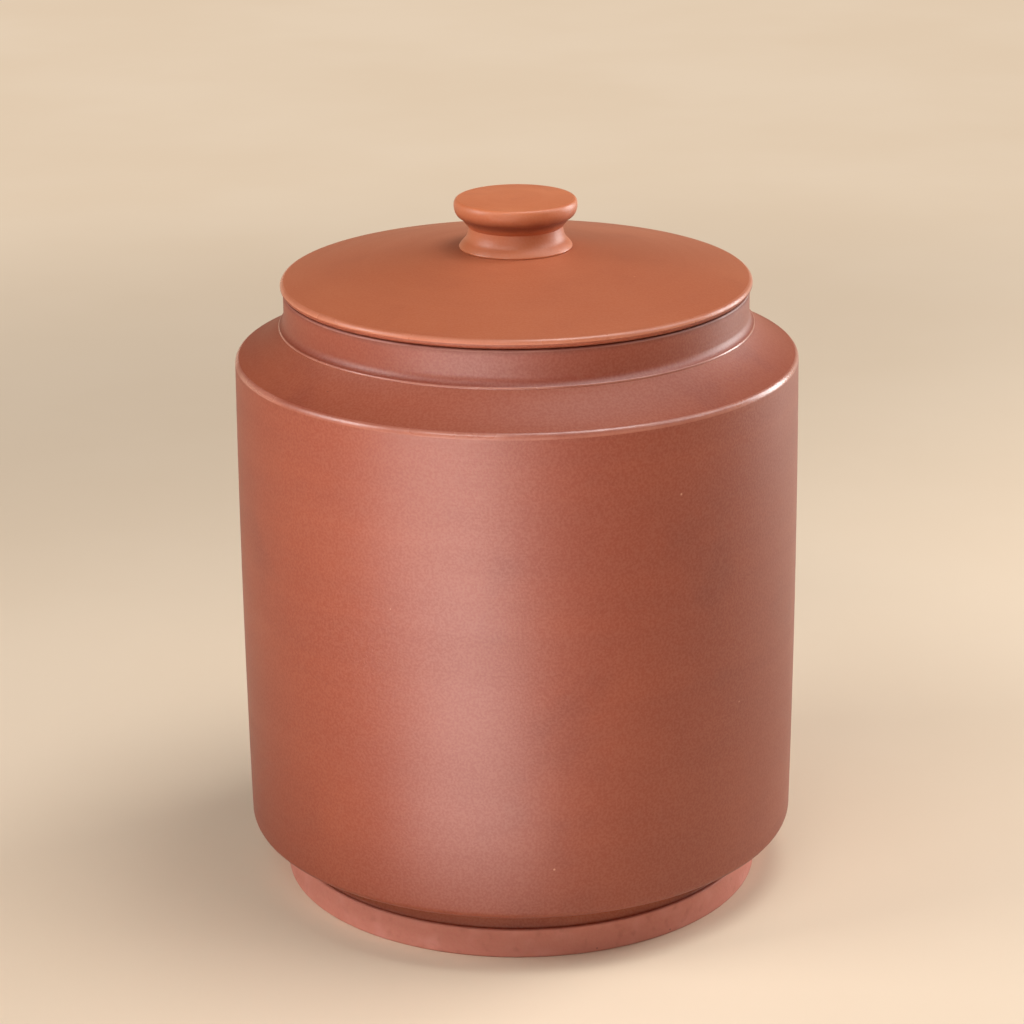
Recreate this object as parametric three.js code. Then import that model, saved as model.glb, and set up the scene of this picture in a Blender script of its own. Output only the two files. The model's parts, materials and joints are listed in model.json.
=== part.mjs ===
// Tea storage jar in unglazed red clay: a straight-sided jar on a stepped foot, with a loose lid.
// Millimetres, +Z up. The origin is the middle of the foot's underside.
import * as THREE from 'three';

// A point of an outline: its distance from the axis, and its height
const at = (radius, height) => new THREE.Vector2(radius, height);

// Driving heights, stacked from the table up.
// Each is a multiple of a quarter millimetre, so that luted faces share one exact plane.
const FOOT_HEIGHT = 26.75;
const BASE_THICKNESS = 9.25;
const WALL_HEIGHT = 213;
const SHOULDER_RISE = 18;
const NECK_HEIGHT = 16.75;
const LID_RISE = 18.25;
const KNOB_HEIGHT = 23;

// Driving radii and thicknesses of the jar
const BODY_RADIUS = 129;
const BELLY = 0.8;
const WALL_THICKNESS = 7;
const FLOOR_FILLET = 8;
const CORNER_RADIUS = 4;
const FOOT_RADIUS = 112.5;
const FOOT_BAND_TOP_RADIUS = 112;
const FOOT_INNER_RADIUS = 96;
const FOOT_BAND_HEIGHT = 13.75;
const WAIST_RADIUS = 110;
const WAIST_COVE = 3;
const MOUTH_RADIUS = 100.5;
const NECK_RADIUS = 106.25;
const NECK_BASE_RADIUS = 108.75;
const SOFT_EDGE = 1;

// Shoulder outline, with heights above its seam with the wall
const EDGE_LOW = at(BODY_RADIUS, 1.75);
const EDGE_PULL = at(BODY_RADIUS, 4);
const EDGE_TOP = at(BODY_RADIUS - 1.7, 4.75);
const HOLLOW_PULL = at(116.4, 9.5);
const BORE_LOW = at(MOUTH_RADIUS, 12);
const VAULT_PULL = at(109, 2.5);

// Neck outline, with heights above its seam with the shoulder
const NECK_LIP = at(NECK_BASE_RADIUS, 0.75);
const NECK_FILLET_PULL = at(NECK_RADIUS, 2.5);
const NECK_FILLET_TOP = at(NECK_RADIUS, 5);

// Driving radii and thicknesses of the lid
const LID_RADIUS = 107.5;
const LID_EDGE = 4.25;
const LID_RELIEF = 0.5;
const LID_SEAT_RADIUS = 103;
const LID_RIM_SLOPE = THREE.MathUtils.degToRad(11.5);
const LID_THICKNESS = 6.5;
const FLANGE_GAP = 1;
const FLANGE_THICKNESS = 5.5;
const FLANGE_DEPTH = 13.25;

// Knob outline, with heights above its seat on the lid
const KNOB_FOOT = at(25.75, 0);
const KNOB_LIP_LOW = at(25.75, 0.6);
const KNOB_LIP_PULL = at(25, 1.9);
const KNOB_FLARE_LOW = at(23.6, 3.3);
const KNOB_FLARE_PULL = at(21.7, 5.1);
const KNOB_WAIST = at(21.4, 9.75);
const KNOB_CONE_PULL = at(23.2, 11.6);
const KNOB_CREASE = at(24.9, 14.3);
const KNOB_RIM_LOW_PULL = at(28.2, 14.2);
const KNOB_RIM_HIGH_PULL = at(29.4, 22.8);
const KNOB_TOP_EDGE = at(25.9, 22.5);

// Where each clay section stands
const BASE_Z = FOOT_HEIGHT;
const WALL_Z = BASE_Z + BASE_THICKNESS;
const SHOULDER_Z = WALL_Z + WALL_HEIGHT;
const NECK_Z = SHOULDER_Z + SHOULDER_RISE;
const RIM_Z = NECK_Z + NECK_HEIGHT;

// Facets round the axis, and along the swept parts of an outline
const FACETS = 64;
const KNOB_FACETS = 48;
const WALL_STEPS = 6;
const SWEEP_STEPS = 5;
const KNOB_STEPS = 4;
const RIM_STEPS = 7;
const EDGE_STEPS = 2;

// Fired clay, burnished on what shows and left raw on the foot
const BURNISHED = { color: '#a5604a', roughness: 0.48, metalness: 0 };
const BURNISHED_LID = { color: '#b46749', roughness: 0.46, metalness: 0 };
const RAW = { color: '#a05c4c', roughness: 0.8, metalness: 0 };

// A smooth stretch of outline that leaves start towards pull and arrives at end from pull
function sweep(start, pull, end, steps) {
  return new THREE.QuadraticBezierCurve(start, pull, end).getPoints(steps);
}

// A round stretch of outline about a centre
function arc(centre, radius, from, to, steps) {
  return new THREE.EllipseCurve(centre.x, centre.y, radius, radius, from, to).getPoints(steps);
}

// A corner softened over the given size, between a point before it and a point after it
function softened(before, corner, after, size) {
  const start = corner.clone().add(before.clone().sub(corner).setLength(size));
  const end = corner.clone().add(after.clone().sub(corner).setLength(size));
  return sweep(start, corner, end, EDGE_STEPS);
}

// The jar's outside radius: a wall that swells a little between its two edges
function bodyRadius(z) {
  const lowest = BASE_Z + CORNER_RADIUS;
  const middle = (lowest + SHOULDER_Z) / 2;
  const halfSpan = (SHOULDER_Z - lowest) / 2;
  return BODY_RADIUS + BELLY * (1 - ((z - middle) / halfSpan) ** 2);
}

// One section turned about the axis. The outline runs out along the bottom and back along the top.
function turned(name, outline, height, clay, facets = FACETS) {
  const geometry = new THREE.LatheGeometry(outline, facets);
  geometry.rotateX(Math.PI / 2);
  const mesh = new THREE.Mesh(geometry, new THREE.MeshStandardMaterial(clay));
  mesh.name = name;
  mesh.position.z = height;
  return mesh;
}

function closed(points) {
  return [...points, points[0].clone()];
}

// Foot ring: a plain band on the table, a small ledge, and a set-back waist that carries the base
function footRing() {
  const insideLow = at(FOOT_INNER_RADIUS, 0);
  const insideHigh = at(FOOT_INNER_RADIUS, FOOT_HEIGHT);
  const outsideLow = at(FOOT_RADIUS, 0);
  const bandTop = at(FOOT_BAND_TOP_RADIUS, FOOT_BAND_HEIGHT);
  const crease = at(WAIST_RADIUS, FOOT_BAND_HEIGHT);
  const waistTop = at(WAIST_RADIUS, FOOT_HEIGHT);
  const underBase = at(WAIST_RADIUS + WAIST_COVE, FOOT_HEIGHT);
  return turned('foot_ring', closed([
    ...softened(insideHigh, insideLow, outsideLow, SOFT_EDGE),
    ...softened(insideLow, outsideLow, bandTop, SOFT_EDGE),
    ...softened(outsideLow, bandTop, crease, SOFT_EDGE),
    ...softened(bandTop, crease, waistTop, SOFT_EDGE),
    ...softened(crease, waistTop, underBase, WAIST_COVE),
    insideHigh,
  ]), 0, RAW);
}

// Base plate: the floor slab, with the jar's rounded lower corner on its rim
function basePlate() {
  const cornerCentre = at(BODY_RADIUS - CORNER_RADIUS, CORNER_RADIUS);
  return turned('base_plate', [
    at(0, 0),
    ...arc(cornerCentre, CORNER_RADIUS, -Math.PI / 2, 0, SWEEP_STEPS),
    at(bodyRadius(WALL_Z), BASE_THICKNESS),
    at(0, BASE_THICKNESS),
  ], BASE_Z, BURNISHED);
}

// Body wall: an even tube on the base plate, coved inside where it meets the floor
function bodyWall() {
  const outside = [];
  const inside = [];
  for (let step = 0; step <= WALL_STEPS; step += 1) {
    const height = (WALL_HEIGHT * step) / WALL_STEPS;
    const radius = bodyRadius(WALL_Z + height);
    outside.push(at(radius, height));
    if (step > 0) inside.unshift(at(radius - WALL_THICKNESS, height));
  }
  const insideLow = at(bodyRadius(WALL_Z) - WALL_THICKNESS, 0);
  const fillet = softened(inside.at(-1), insideLow, at(0, 0), FLOOR_FILLET);
  return turned('body_wall', closed([...outside, ...inside, ...fillet]), WALL_Z, BURNISHED);
}

// Shoulder ring: a crisp outer edge, a hollow sweep up to the neck, and a vault inside
function shoulderRing() {
  const neckBase = at(NECK_BASE_RADIUS, SHOULDER_RISE);
  const insideLow = at(BODY_RADIUS - WALL_THICKNESS, 0);
  return turned('shoulder_ring', closed([
    at(BODY_RADIUS, 0),
    ...sweep(EDGE_LOW, EDGE_PULL, EDGE_TOP, SWEEP_STEPS),
    ...sweep(EDGE_TOP, HOLLOW_PULL, neckBase, SWEEP_STEPS).slice(1),
    at(MOUTH_RADIUS, SHOULDER_RISE),
    ...sweep(BORE_LOW, VAULT_PULL, insideLow, SWEEP_STEPS),
  ]), SHOULDER_Z, BURNISHED);
}

// Neck collar: an upright mouth with a small lip at its base, whose flat rim carries the lid
function neckCollar() {
  const lipLow = at(NECK_BASE_RADIUS, 0);
  const lip = softened(lipLow, NECK_LIP, NECK_FILLET_PULL, SOFT_EDGE / 2);
  const outsideTop = at(NECK_RADIUS, NECK_HEIGHT);
  const insideTop = at(MOUTH_RADIUS, NECK_HEIGHT);
  const insideLow = at(MOUTH_RADIUS, 0);
  return turned('neck_collar', closed([
    insideLow,
    lipLow,
    ...lip,
    ...sweep(lip.at(-1), NECK_FILLET_PULL, NECK_FILLET_TOP, SWEEP_STEPS).slice(1),
    ...softened(NECK_FILLET_TOP, outsideTop, insideTop, SOFT_EDGE),
    ...softened(outsideTop, insideTop, insideLow, SOFT_EDGE),
  ]), NECK_Z, BURNISHED);
}

// Lid plate: a low dome, hollow underneath, with a round edge that stands just clear of the neck's rim
function lidPlate() {
  const edgeRadius = LID_EDGE / 2;
  const edgeCentre = at(LID_RADIUS - edgeRadius, LID_RELIEF + edgeRadius);
  const edge = arc(edgeCentre, edgeRadius, -Math.PI / 2, Math.PI / 2 - LID_RIM_SLOPE, SWEEP_STEPS);
  const domeLow = edge.at(-1);
  const knobSeat = at(KNOB_FOOT.x, LID_RISE);
  const domeReach = (domeLow.x - knobSeat.x) / 2;
  const domePull = at(domeLow.x - domeReach, domeLow.y + domeReach * Math.tan(LID_RIM_SLOPE));
  const hollowTop = LID_RISE - LID_THICKNESS;
  const seatInside = at(MOUTH_RADIUS - FLANGE_GAP - FLANGE_THICKNESS, 0);
  return turned('lid_plate', [
    ...sweep(at(0, hollowTop), at(seatInside.x / 2, hollowTop), seatInside, SWEEP_STEPS),
    at(LID_SEAT_RADIUS, 0),
    at(LID_SEAT_RADIUS + LID_RELIEF, LID_RELIEF),
    ...edge,
    ...sweep(domeLow, domePull, knobSeat, SWEEP_STEPS).slice(1),
    at(0, LID_RISE),
  ], 0, BURNISHED_LID);
}

// Lid flange: the ring under the lid that drops inside the mouth and keeps the lid in place
function lidFlange() {
  const outsideTop = at(MOUTH_RADIUS - FLANGE_GAP, 0);
  const outsideLow = at(outsideTop.x - SOFT_EDGE / 2, -FLANGE_DEPTH);
  const insideLow = at(outsideLow.x - FLANGE_THICKNESS + SOFT_EDGE, -FLANGE_DEPTH);
  const insideTop = at(outsideTop.x - FLANGE_THICKNESS, 0);
  return turned('lid_flange', closed([
    ...softened(insideTop, insideLow, outsideLow, SOFT_EDGE),
    ...softened(insideLow, outsideLow, outsideTop, SOFT_EDGE),
    outsideTop,
    insideTop,
  ]), 0, BURNISHED_LID);
}

// Knob: a rounded foot, a hollow flare up to a sharp waist, an undercut cone and a flat-topped rim
function lidKnob() {
  const seatMiddle = at(0, 0);
  const crown = at(0, KNOB_HEIGHT);
  const crownPull = at(KNOB_TOP_EDGE.x / 2, KNOB_HEIGHT);
  const rim = new THREE.CubicBezierCurve(
    KNOB_CREASE, KNOB_RIM_LOW_PULL, KNOB_RIM_HIGH_PULL, KNOB_TOP_EDGE);
  return turned('lid_knob', [
    seatMiddle,
    ...softened(seatMiddle, KNOB_FOOT, KNOB_LIP_LOW, SOFT_EDGE / 2),
    ...sweep(KNOB_LIP_LOW, KNOB_LIP_PULL, KNOB_FLARE_LOW, KNOB_STEPS),
    ...sweep(KNOB_FLARE_LOW, KNOB_FLARE_PULL, KNOB_WAIST, KNOB_STEPS).slice(1),
    ...sweep(KNOB_WAIST, KNOB_CONE_PULL, KNOB_CREASE, EDGE_STEPS).slice(1),
    ...rim.getPoints(RIM_STEPS).slice(1),
    ...sweep(KNOB_TOP_EDGE, crownPull, crown, EDGE_STEPS).slice(1),
  ], LID_RISE, BURNISHED_LID, KNOB_FACETS);
}

const jar = new THREE.Group();
jar.add(footRing(), basePlate(), bodyWall(), shoulderRing(), neckCollar());

// The lid's own frame is the plane where it rests on the neck.
const lid = new THREE.Group();
lid.position.z = RIM_Z;
lid.add(lidPlate(), lidFlange(), lidKnob());

const teaJar = new THREE.Group();
teaJar.add(jar, lid);

export default teaJar;
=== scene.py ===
# %% [markdown]
# # A tea storage jar in red clay
#
# The jar is turned from red clay, put together from sections while the clay is leather-hard, rubbed to
# a satin and fired once, without a glaze. Two things come apart: the jar, and a loose lid that lifts off
# by its knob. A measured model of both is loaded first and stays as it is. Every section then gets a
# finer mesh in the same place, and a clay that is built from nodes.

# %% Load the measured model
import json
import math

import bpy
from mathutils import Matrix, Vector
from mathutils.geometry import interpolate_bezier


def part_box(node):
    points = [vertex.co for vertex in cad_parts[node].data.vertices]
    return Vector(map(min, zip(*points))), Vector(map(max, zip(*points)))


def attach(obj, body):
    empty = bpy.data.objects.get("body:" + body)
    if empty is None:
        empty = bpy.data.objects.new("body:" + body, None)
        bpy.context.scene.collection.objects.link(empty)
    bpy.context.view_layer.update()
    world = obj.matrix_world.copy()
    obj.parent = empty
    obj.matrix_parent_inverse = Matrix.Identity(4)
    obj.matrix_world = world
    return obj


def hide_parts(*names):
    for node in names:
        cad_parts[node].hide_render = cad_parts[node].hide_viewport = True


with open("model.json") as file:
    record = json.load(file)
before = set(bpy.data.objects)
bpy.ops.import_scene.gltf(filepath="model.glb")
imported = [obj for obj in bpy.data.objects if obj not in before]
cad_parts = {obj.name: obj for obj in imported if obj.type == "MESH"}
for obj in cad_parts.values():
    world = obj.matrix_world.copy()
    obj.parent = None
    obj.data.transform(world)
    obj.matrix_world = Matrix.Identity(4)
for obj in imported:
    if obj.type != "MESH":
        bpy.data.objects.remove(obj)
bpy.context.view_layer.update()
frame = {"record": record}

record = frame["record"]

# %% [markdown]
# ## The camera
#
# The jar was seen from about a metre and a half away with a long lens, from above the lid, so that its
# sides look almost parallel and its rims become slim ellipses. One could place a camera by eye. Here it
# is written as a tripod would be set: where it stands, how far it looks down, and how much it leans.

# %% Camera
IMAGE_PIXELS = 1024
FOCAL_PIXELS = 3006
SENSOR_MM = 36
TRIPOD = Vector((0.0, -1.3268, 0.6405))
LOOK_DOWN = math.radians(19.37)
LOOK_RIGHT = math.radians(-0.126)
LEAN = math.radians(0.55)

lens = bpy.data.cameras.new("studio_camera")
lens.sensor_width = SENSOR_MM
lens.lens = FOCAL_PIXELS / IMAGE_PIXELS * SENSOR_MM
camera = bpy.data.objects.new("studio_camera", lens)
aim = Matrix.Rotation(-LOOK_RIGHT, 4, "Z") @ Matrix.Rotation(math.pi / 2 - LOOK_DOWN, 4, "X")
camera.matrix_world = Matrix.Translation(TRIPOD) @ aim @ Matrix.Rotation(-LEAN, 4, "Z")
bpy.context.collection.objects.link(camera)
bpy.context.scene.camera = camera
print(f"lens of {lens.lens:.1f} mm, {TRIPOD.length:.2f} m from the jar's foot")

# %% [markdown]
# ## Wiring nodes
#
# Fired clay is never one flat colour, so every clay here is a small network of shader nodes. Networks
# are easier to read when each line adds one node. So small helpers come first: two that add a node and
# feed a socket, four that each add one common kind of node, and three for groups and colours.

# %% Add a node and feed it
def add(tree, kind, **settings):
    """Adds a node and sets the properties that are named."""
    node = tree.nodes.new(kind)
    for name, value in settings.items():
        setattr(node, name, value)
    return node


def feed(tree, socket, value):
    """Links another node's output to a socket, or writes a plain value on it."""
    if isinstance(value, bpy.types.NodeSocket):
        tree.links.new(value, socket)
    else:
        socket.default_value = value


print("ready to wire nodes")

# %% Sums, ramps, blends and noise
MIX_AMOUNT, MIX_FIRST, MIX_SECOND = 0, 6, 7
MIX_RESULT = 2


def sum_of(tree, operation, first, second=0.0, third=0.0):
    """The result of a Math node."""
    node = add(tree, "ShaderNodeMath", operation=operation)
    for socket, value in zip(node.inputs, (first, second, third)):
        feed(tree, socket, value)
    return node.outputs["Value"]


def ramp(tree, value, low, high, to_low=0.0, to_high=1.0):
    """A value moved smoothly from one range to another, and held at the ends."""
    node = add(tree, "ShaderNodeMapRange", interpolation_type="SMOOTHSTEP")
    for name, given in zip(("Value", "From Min", "From Max", "To Min", "To Max"),
                           (value, low, high, to_low, to_high)):
        feed(tree, node.inputs[name], given)
    return node.outputs["Result"]


def blend_colours(tree, amount, first, second):
    """The first colour, going over to the second as the amount grows from 0 to 1."""
    node = add(tree, "ShaderNodeMix", data_type="RGBA")
    for index, value in ((MIX_AMOUNT, amount), (MIX_FIRST, first), (MIX_SECOND, second)):
        feed(tree, node.inputs[index], value)
    return node.outputs[MIX_RESULT]


def noise(tree, where, scale, detail=2.0):
    """Soft random values from 0 to 1 at the given places."""
    node = add(tree, "ShaderNodeTexNoise")
    for name, value in (("Vector", where), ("Scale", scale), ("Detail", detail)):
        feed(tree, node.inputs[name], value)
    return node.outputs["Fac"]


print("colours of a Mix node go into sockets", MIX_FIRST, "and", MIX_SECOND)

# %% Groups and colours
def new_group(name, inputs, outputs):
    """An empty node group: its tree, the sockets that come in and the sockets that go out."""
    tree = bpy.data.node_groups.new(name, "ShaderNodeTree")
    for socket, value in inputs.items():
        kind = "NodeSocketColor" if isinstance(value, tuple) else "NodeSocketFloat"
        tree.interface.new_socket(socket, in_out="INPUT", socket_type=kind).default_value = value
    for socket, kind in outputs.items():
        tree.interface.new_socket(socket, in_out="OUTPUT", socket_type=kind)
    return tree, add(tree, "NodeGroupInput").outputs, add(tree, "NodeGroupOutput").inputs


def place(tree, group, **values):
    """Puts a node group into a material with its own values, and gives its outputs."""
    node = add(tree, "ShaderNodeGroup", node_tree=group)
    for name, value in values.items():
        feed(tree, node.inputs[name.replace("_", " ")], value)
    return node.outputs


def tone(red, green, blue):
    """A screen colour, 0 to 255, turned by the sRGB curve into the linear colour that shaders mix."""
    linear = []
    for part in (red / 255, green / 255, blue / 255):
        linear.append(part / 12.92 if part <= 0.04045 else ((part + 0.055) / 1.055) ** 2.4)
    return (*linear, 1.0)


print("mid grey on a screen is", round(tone(128, 128, 128)[0], 3), "in a shader")

# %% [markdown]
# ## Kiln bloom
#
# Flame and air reach one side of a jar more than the other, so iron-red clay fires in slow clouds from
# orange to brown. A painted map would fix one jar. Two broad noises at the object's own coordinates give
# clouds that run on across the seams between sections, and each clay sets its own three colours.

# %% Kiln bloom group
FINER_CLOUDS = 2.7
FLUSH_RANGE = (0.45, 0.75)
DUSK_RANGE = (0.52, 0.8)


def make_kiln_bloom():
    """Slow clouds from the clay's own colour to a flush and to a dusk."""
    inputs = {
        "Clay": tone(170, 80, 50),
        "Flush": tone(180, 90, 56),
        "Dusk": tone(150, 68, 46),
        "Cloud Size": 0.1,
    }
    tree, given, result = new_group("kiln_bloom", inputs, {"Color": "NodeSocketColor"})
    where = add(tree, "ShaderNodeTexCoord").outputs["Object"]
    clouds = sum_of(tree, "DIVIDE", 1.0, given["Cloud Size"])
    flush = ramp(tree, noise(tree, where, clouds), *FLUSH_RANGE)
    finer = sum_of(tree, "MULTIPLY", clouds, FINER_CLOUDS)
    dusk = ramp(tree, noise(tree, where, finer, detail=4.0), *DUSK_RANGE)
    warm = blend_colours(tree, flush, given["Clay"], given["Flush"])
    feed(tree, result["Color"], blend_colours(tree, dusk, warm, given["Dusk"]))
    return tree


kiln_bloom = make_kiln_bloom()
print(kiln_bloom.name, "has", len(kiln_bloom.nodes), "nodes")

# %% [markdown]
# ## Wheel marks
#
# While a pot turns, the rib leaves fine lines that run all the way round. A wave texture would make them
# even and mechanical. Each mesh below carries the distance along its outline as an attribute, so a noise
# that is squeezed along that distance and stretched round the axis gives lines that waver and fade.

# %% Wheel marks group
LINE_WAVER = 14.0
BAND_WAVER = 5.0


def make_wheel_marks():
    """Fine lines and broad bands that run round the axis."""
    inputs = {"Line Spacing": 0.0015, "Band Width": 0.012}
    outputs = {"Lines": "NodeSocketFloat", "Bands": "NodeSocketFloat"}
    tree, given, result = new_group("wheel_marks", inputs, outputs)
    along = add(tree, "ShaderNodeAttribute", attribute_name="along").outputs["Fac"]
    round_the_jar = add(tree, "ShaderNodeSeparateXYZ")
    feed(tree, round_the_jar.inputs["Vector"], add(tree, "ShaderNodeTexCoord").outputs["Object"])
    marks = (("Line Spacing", "Lines", LINE_WAVER), ("Band Width", "Bands", BAND_WAVER))
    for spacing, output, waver in marks:
        squeezed = add(tree, "ShaderNodeCombineXYZ")
        feed(tree, squeezed.inputs["X"], sum_of(tree, "DIVIDE", along, given[spacing]))
        feed(tree, squeezed.inputs["Y"], sum_of(tree, "MULTIPLY", round_the_jar.outputs["X"], waver))
        feed(tree, squeezed.inputs["Z"], sum_of(tree, "MULTIPLY", round_the_jar.outputs["Y"], waver))
        feed(tree, result[output], noise(tree, squeezed.outputs["Vector"], scale=1.0, detail=3.0))
    return tree


wheel_marks = make_wheel_marks()
print(wheel_marks.name, "has", len(wheel_marks.nodes), "nodes")

# %% [markdown]
# ## Grain and specks
#
# This clay is ground fine, but a few pale grains and dark iron spots always come through. Fine noise is
# enough for the body of the clay. For the specks a cell texture scatters one point per cell, and only
# the cells with a high random number show theirs, so the specks stay few and far apart.

# %% Grain and specks group
SPECK_FADE = (0.4, 1.0)


def make_clay_grain():
    """Fine grain, and masks of the few pale and dark specks."""
    inputs = {"Grain Size": 0.001, "Speck Spacing": 0.012, "Speck Size": 0.0006, "Speck Share": 0.2}
    outputs = {"Grain": "NodeSocketFloat", "Pale": "NodeSocketFloat", "Dark": "NodeSocketFloat"}
    tree, given, result = new_group("clay_grain", inputs, outputs)
    where = add(tree, "ShaderNodeTexCoord").outputs["Object"]
    fine = sum_of(tree, "DIVIDE", 1.0, given["Grain Size"])
    feed(tree, result["Grain"], noise(tree, where, fine, detail=4.0))
    cells = add(tree, "ShaderNodeTexVoronoi")
    feed(tree, cells.inputs["Vector"], where)
    feed(tree, cells.inputs["Scale"], sum_of(tree, "DIVIDE", 1.0, given["Speck Spacing"]))
    speck_in_cell = sum_of(tree, "DIVIDE", given["Speck Size"], given["Speck Spacing"])
    from_speck = sum_of(tree, "DIVIDE", cells.outputs["Distance"], speck_in_cell)
    spot = ramp(tree, from_speck, *SPECK_FADE, to_low=1.0, to_high=0.0)
    chance = add(tree, "ShaderNodeSeparateColor")
    feed(tree, chance.inputs["Color"], cells.outputs["Color"])
    for channel, output in (("Red", "Pale"), ("Green", "Dark")):
        shown = sum_of(tree, "LESS_THAN", chance.outputs[channel], given["Speck Share"])
        feed(tree, result[output], sum_of(tree, "MULTIPLY", spot, shown))
    return tree


clay_grain = make_clay_grain()
print(clay_grain.name, "has", len(clay_grain.nodes), "nodes")

# %% [markdown]
# ## Rubbed edges and painted highlights
#
# Hands and cloths polish the sharpest edges first, and the clay is smoother there. The paler colour laid
# on these edges is partly that wear and partly a painted highlight, the thin line of light along rims and
# edges.
# A bevel or pointiness node could find edges, but neither survives an export. The turned meshes carry the
# tightness of each edge as an attribute, and this group breaks it up so that the wear and the highlight
# come and go.

# %% Edge wear and painted highlight group
LEAST_WEAR_AND_HIGHLIGHT = 0.35
WEAR_AND_HIGHLIGHT_PATCHES = (0.3, 0.65)


def make_edge_wear_and_highlight():
    """A mask of the sharp edges, polished and given a painted highlight, stronger in some patches than in
    others.
    """
    inputs = {"Patch Size": 0.02, "Softest": 0.05, "Sharpest": 0.6}
    tree, given, result = new_group("edge_wear_and_highlight", inputs, {"Mask": "NodeSocketFloat"})
    edge = add(tree, "ShaderNodeAttribute", attribute_name="edge").outputs["Fac"]
    where = add(tree, "ShaderNodeTexCoord").outputs["Object"]
    patches = noise(tree, where, sum_of(tree, "DIVIDE", 1.0, given["Patch Size"]), detail=3.0)
    tight_edges = ramp(tree, edge, given["Softest"], given["Sharpest"])
    uneven = ramp(tree, patches, *WEAR_AND_HIGHLIGHT_PATCHES, to_low=LEAST_WEAR_AND_HIGHLIGHT)
    feed(tree, result["Mask"], sum_of(tree, "MULTIPLY", tight_edges, uneven))
    return tree


edge_wear_and_highlight = make_edge_wear_and_highlight()
print(edge_wear_and_highlight.name, "has", len(edge_wear_and_highlight.nodes), "nodes")

# %% [markdown]
# ## Painted shade in creases
#
# No burnishing stone reaches into a crease, so the clay stays more matt there. The darker colour laid
# into the creases is painted shade, in place of an ambient occlusion node, which does not survive an
# export. So each mesh carries an attribute that is 1 in its creases and fades away from them, and this
# group frays it.

# %% Painted crease shade group
CREASE_FADE = (0.1, 0.9)
MEAN_NOISE = 0.5


def make_painted_crease_shade():
    """A mask of the creases, with a frayed edge, where painted shade darkens the clay."""
    inputs = {"Patch Size": 0.01, "Fray": 0.5}
    tree, given, result = new_group("painted_crease_shade", inputs, {"Mask": "NodeSocketFloat"})
    hollow = add(tree, "ShaderNodeAttribute", attribute_name="hollow").outputs["Fac"]
    where = add(tree, "ShaderNodeTexCoord").outputs["Object"]
    patches = noise(tree, where, sum_of(tree, "DIVIDE", 1.0, given["Patch Size"]), detail=4.0)
    frayed = sum_of(tree, "MULTIPLY", sum_of(tree, "SUBTRACT", patches, MEAN_NOISE), given["Fray"])
    feed(tree, result["Mask"], ramp(tree, sum_of(tree, "ADD", hollow, frayed), *CREASE_FADE))
    return tree


painted_crease_shade = make_painted_crease_shade()
print(painted_crease_shade.name, "has", len(painted_crease_shade.nodes), "nodes")

# %% [markdown]
# ## One clay, five finishes
#
# The whole jar is one clay body. What differs is the finish: the wall is burnished with a smooth stone,
# the hollow of the shoulder only lightly, the lid with more care, the knob is rubbed by hands, and the
# foot and the inside are left as the wheel leaves them. So one function wires the five groups to a
# Principled shader, and each finish gives its own values.

# %% Clay colour
PALE_SPECK = tone(206, 150, 122)
DARK_SPECK = tone(92, 40, 28)
# Painted shade: the dark colour laid into creases and under the knob's rim.
CREASE_SHADE_COLOUR = tone(86, 28, 16)
PALE_STRENGTH = 0.6
DARK_STRENGTH = 0.5
BAND_RANGE = (0.3, 0.7)
GRAIN_RANGE = (0.35, 0.65)


def clay_colour(tree, masks, dusk, gloss):
    """Kiln clouds, with bands, grain, specks, paler edges and darker creases laid over them in turn. The
    paler edges are partly polish and partly painted highlight; the darker creases are painted shade.
    """
    layers = (
        (ramp(tree, masks["Bands"], *BAND_RANGE, to_high=gloss["band_tint"]), dusk),
        (ramp(tree, masks["Grain"], *GRAIN_RANGE, to_high=gloss["grain_tint"]), PALE_SPECK),
        (sum_of(tree, "MULTIPLY", masks["Pale"], PALE_STRENGTH), PALE_SPECK),
        (sum_of(tree, "MULTIPLY", masks["Dark"], DARK_STRENGTH), DARK_SPECK),
        # Paler edges: partly wear, partly painted highlight.
        (sum_of(tree, "MULTIPLY", masks["Wear And Highlight"], gloss["wear_and_highlight_share"]), gloss["wear_and_highlight_colour"]),
        # Painted shade, laid into the creases.
        (sum_of(tree, "MULTIPLY", masks["Crease"], gloss["crease_shade_share"]), CREASE_SHADE_COLOUR),
    )
    colour = masks["Clouds"]
    for amount, laid_over in layers:
        colour = blend_colours(tree, amount, colour, laid_over)
    return colour


print("pale specks are", [round(part, 2) for part in PALE_SPECK[:3]])

# %% Clay gloss and relief
SATIN_RANGE = (0.25, 0.75)
CREASE_ROUGHNESS = 0.25


def clay_roughness(tree, masks, gloss):
    """A satin that changes a little from band to band, smoother where worn and rougher in creases."""
    satin = ramp(tree, masks["Bands"], *SATIN_RANGE, gloss["smoothest"], gloss["roughest"])
    polish = sum_of(tree, "MULTIPLY", masks["Wear And Highlight"], gloss["rub_polish"])
    smooth = sum_of(tree, "SUBTRACT", satin, polish)
    return sum_of(tree, "MULTIPLY_ADD", masks["Crease"], CREASE_ROUGHNESS, smooth)


def clay_relief(tree, masks, gloss):
    """The normal of the surface: wheel lines, with the grain laid over them."""
    lines = add(tree, "ShaderNodeBump")
    feed(tree, lines.inputs["Distance"], gloss["line_depth"])
    feed(tree, lines.inputs["Height"], masks["Lines"])
    pores = add(tree, "ShaderNodeBump")
    feed(tree, pores.inputs["Distance"], gloss["grain_depth"])
    feed(tree, pores.inputs["Height"], masks["Grain"])
    feed(tree, pores.inputs["Normal"], lines.outputs["Normal"])
    return pores.outputs["Normal"]


print("creases are rougher by", CREASE_ROUGHNESS)

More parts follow.
